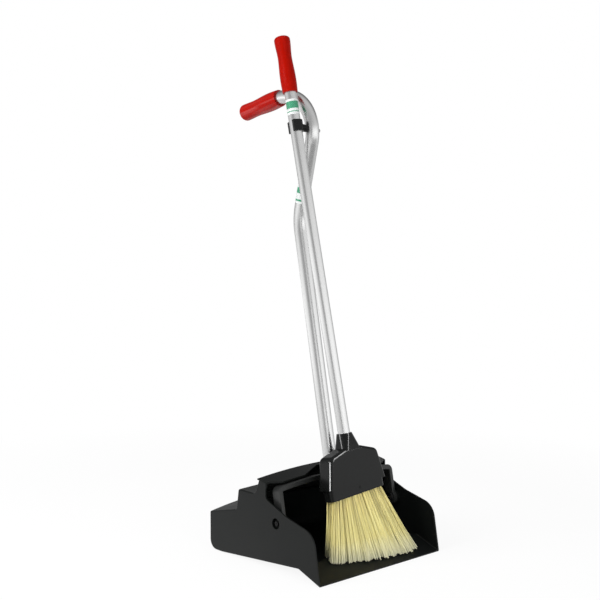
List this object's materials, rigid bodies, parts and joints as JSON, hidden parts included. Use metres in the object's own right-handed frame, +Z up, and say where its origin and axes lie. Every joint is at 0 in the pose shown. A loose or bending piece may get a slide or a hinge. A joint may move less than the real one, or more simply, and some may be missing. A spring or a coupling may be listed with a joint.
{
  "type": "dustpan and broom set",
  "caption": "Upright lobby dustpan with a hooded, stepped pan, a swinging swan-neck handle and an angled broom held in a clip on the handle.",
  "frame": {"origin": "on the floor under the middle of the pan's heel pad", "axes": "+Z up, the pan's mouth faces -Y, +X across the pan to the right of someone facing the back"},
  "size_m": [0.305, 0.3853, 0.955],
  "materials": {
    "pan_plastic": "satin black moulding",
    "yoke_plastic": "satin black moulding",
    "pin_plastic": "satin",
    "head_plastic": "glossy black moulding",
    "tube_aluminium": "drawn, satin",
    "fixing_steel": "plated",
    "grip_vinyl": "dipped red vinyl",
    "bristle_fibre": "cream synthetic fibre"
  },
  "bodies": {
    "pan": {"pan_shell": "pan_plastic"},
    "handle": {"yoke": "yoke_plastic", "pivot_pin_left": "pin_plastic", "pivot_pin_right": "pin_plastic", "pivot_retainer_left": "fixing_steel", "pivot_retainer_right": "fixing_steel", "handle_tube": "tube_aluminium", "socket_bolt": "fixing_steel", "socket_nut": "fixing_steel", "handle_grip": "grip_vinyl", "broom_clip": "yoke_plastic", "clip_screw": "fixing_steel"},
    "broom": {"broom_tube": "tube_aluminium", "broom_grip": "grip_vinyl", "head_cap": "head_plastic", "neck_screw": "fixing_steel", "bristle_block": "head_plastic", "bristles": "bristle_fibre"}
  },
  "joints": [
    {"name": "handle_swing", "type": "hinge", "parent": "pan", "child": "handle", "pos_m": [0, -0.1635, 0.084], "axis": [1, 0, 0], "range_deg": [0, 70], "deforming": ["bristles"]},
    {"name": "broom_lift", "type": "slide", "parent": "handle", "child": "broom", "axis": [-0.0405, 0.1852, 0.9819], "range_m": [0, 0.45]}
  ]
}
